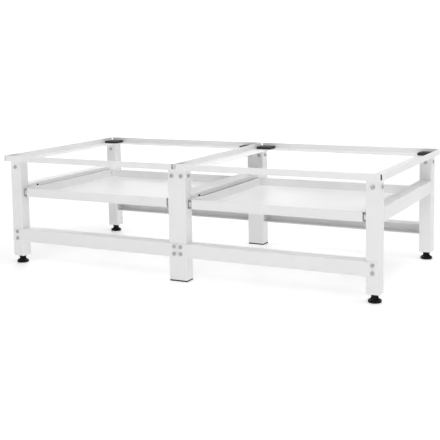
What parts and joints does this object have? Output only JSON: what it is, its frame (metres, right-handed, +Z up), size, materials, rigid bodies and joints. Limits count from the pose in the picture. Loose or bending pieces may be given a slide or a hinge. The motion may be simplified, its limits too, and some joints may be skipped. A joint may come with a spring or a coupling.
{
  "type": "double laundry machine pedestal",
  "caption": "White steel double pedestal: two lipped top frames on legs with low rails, a pull-out shelf in each bay on telescopic slides, rubber pads and levelling feet.",
  "frame": {"origin": "middle of the footprint, on the floor", "axes": "+X right seen from the front, +Y to the back, +Z up"},
  "size_m": [1.28, 0.63, 0.36],
  "materials": {
    "white_powder_coat": "white powder coat, fine texture, satin",
    "zinc_plated_steel": "zinc plated",
    "slide_steel": "rolled zinc-plated strip, lightly oiled",
    "white_nylon": "moulded, smooth",
    "black_plastic": "moulded, fine texture",
    "black_rubber": "matte rubber"
  },
  "bodies": {
    "frame": {"top_frame_left": "white_powder_coat", "top_frame_right": "white_powder_coat", "frame_socket_brackets": "white_powder_coat", "front_left_leg": "white_powder_coat", "front_centre_leg": "white_powder_coat", "front_right_leg": "white_powder_coat", "back_left_leg": "white_powder_coat", "back_centre_leg": "white_powder_coat", "back_right_leg": "white_powder_coat", "front_left_low_rail": "white_powder_coat", "front_right_low_rail": "white_powder_coat", "back_left_low_rail": "white_powder_coat", "back_right_low_rail": "white_powder_coat", "left_side_rail": "white_powder_coat", "centre_side_rail": "white_powder_coat", "right_side_rail": "white_powder_coat", "side_rail_end_plates": "white_powder_coat", "top_bolts": "zinc_plated_steel", "top_nuts": "zinc_plated_steel", "rail_bolts": "zinc_plated_steel", "rail_nuts": "zinc_plated_steel", "side_rail_bolts": "zinc_plated_steel", "side_rail_nuts": "zinc_plated_steel", "slide_screws": "zinc_plated_steel", "leg_inserts": "zinc_plated_steel", "left_outer_slide_outer": "slide_steel", "left_inner_slide_outer": "slide_steel", "right_inner_slide_outer": "slide_steel", "right_outer_slide_outer": "slide_steel", "centre_leg_caps": "black_plastic", "foot_lock_nuts": "black_plastic", "corner_pads": "black_rubber", "slide_bumpers": "black_rubber", "stop_buttons": "black_rubber"},
    "left_shelf_tray": {"left_shelf": "white_powder_coat", "left_shelf_rivets": "white_powder_coat", "left_outer_slide_inner": "zinc_plated_steel", "left_inner_slide_inner": "zinc_plated_steel"},
    "right_shelf_tray": {"right_shelf": "white_powder_coat", "right_shelf_rivets": "white_powder_coat", "right_outer_slide_inner": "zinc_plated_steel", "right_inner_slide_inner": "zinc_plated_steel"},
    "left_outer_slide_middle_member": {"left_outer_slide_middle": "slide_steel", "left_outer_slide_runners": "white_nylon"},
    "left_inner_slide_middle_member": {"left_inner_slide_middle": "slide_steel", "left_inner_slide_runners": "white_nylon"},
    "right_inner_slide_middle_member": {"right_inner_slide_middle": "slide_steel", "right_inner_slide_runners": "white_nylon"},
    "right_outer_slide_middle_member": {"right_outer_slide_middle": "slide_steel", "right_outer_slide_runners": "white_nylon"},
    "front_left_foot": {"front_left_foot_stud": "zinc_plated_steel", "front_left_foot_glide": "black_plastic"},
    "front_right_foot": {"front_right_foot_stud": "zinc_plated_steel", "front_right_foot_glide": "black_plastic"},
    "back_left_foot": {"back_left_foot_stud": "zinc_plated_steel", "back_left_foot_glide": "black_plastic"},
    "back_right_foot": {"back_right_foot_stud": "zinc_plated_steel", "back_right_foot_glide": "black_plastic"}
  },
  "joints": [
    {"name": "left_shelf_slide", "type": "slide", "parent": "frame", "child": "left_shelf_tray", "axis": [0, -1, 0], "range_m": [0, 0.48]},
    {"name": "right_shelf_slide", "type": "slide", "parent": "frame", "child": "right_shelf_tray", "axis": [0, -1, 0], "range_m": [0, 0.48]},
    {"name": "left_outer_middle_slide", "type": "slide", "parent": "frame", "child": "left_outer_slide_middle_member", "axis": [0, -1, 0], "range_m": [0, 0.24]},
    {"name": "left_inner_middle_slide", "type": "slide", "parent": "frame", "child": "left_inner_slide_middle_member", "axis": [0, -1, 0], "range_m": [0, 0.24]},
    {"name": "right_inner_middle_slide", "type": "slide", "parent": "frame", "child": "right_inner_slide_middle_member", "axis": [0, -1, 0], "range_m": [0, 0.24]},
    {"name": "right_outer_middle_slide", "type": "slide", "parent": "frame", "child": "right_outer_slide_middle_member", "axis": [0, -1, 0], "range_m": [0, 0.24]},
    {"name": "front_left_foot_height", "type": "slide", "parent": "frame", "child": "front_left_foot", "axis": [0, 0, -1], "range_m": [0, 0.012]},
    {"name": "front_right_foot_height", "type": "slide", "parent": "frame", "child": "front_right_foot", "axis": [0, 0, -1], "range_m": [0, 0.012]},
    {"name": "back_left_foot_height", "type": "slide", "parent": "frame", "child": "back_left_foot", "axis": [0, 0, -1], "range_m": [0, 0.012]},
    {"name": "back_right_foot_height", "type": "slide", "parent": "frame", "child": "back_right_foot", "axis": [0, 0, -1], "range_m": [0, 0.012]}
  ],
  "couplings": [
    {"joint": "left_outer_middle_slide", "follows": "left_shelf_slide", "ratio": 0.5},
    {"joint": "left_inner_middle_slide", "follows": "left_shelf_slide", "ratio": 0.5},
    {"joint": "right_inner_middle_slide", "follows": "right_shelf_slide", "ratio": 0.5},
    {"joint": "right_outer_middle_slide", "follows": "right_shelf_slide", "ratio": 0.5}
  ]
}
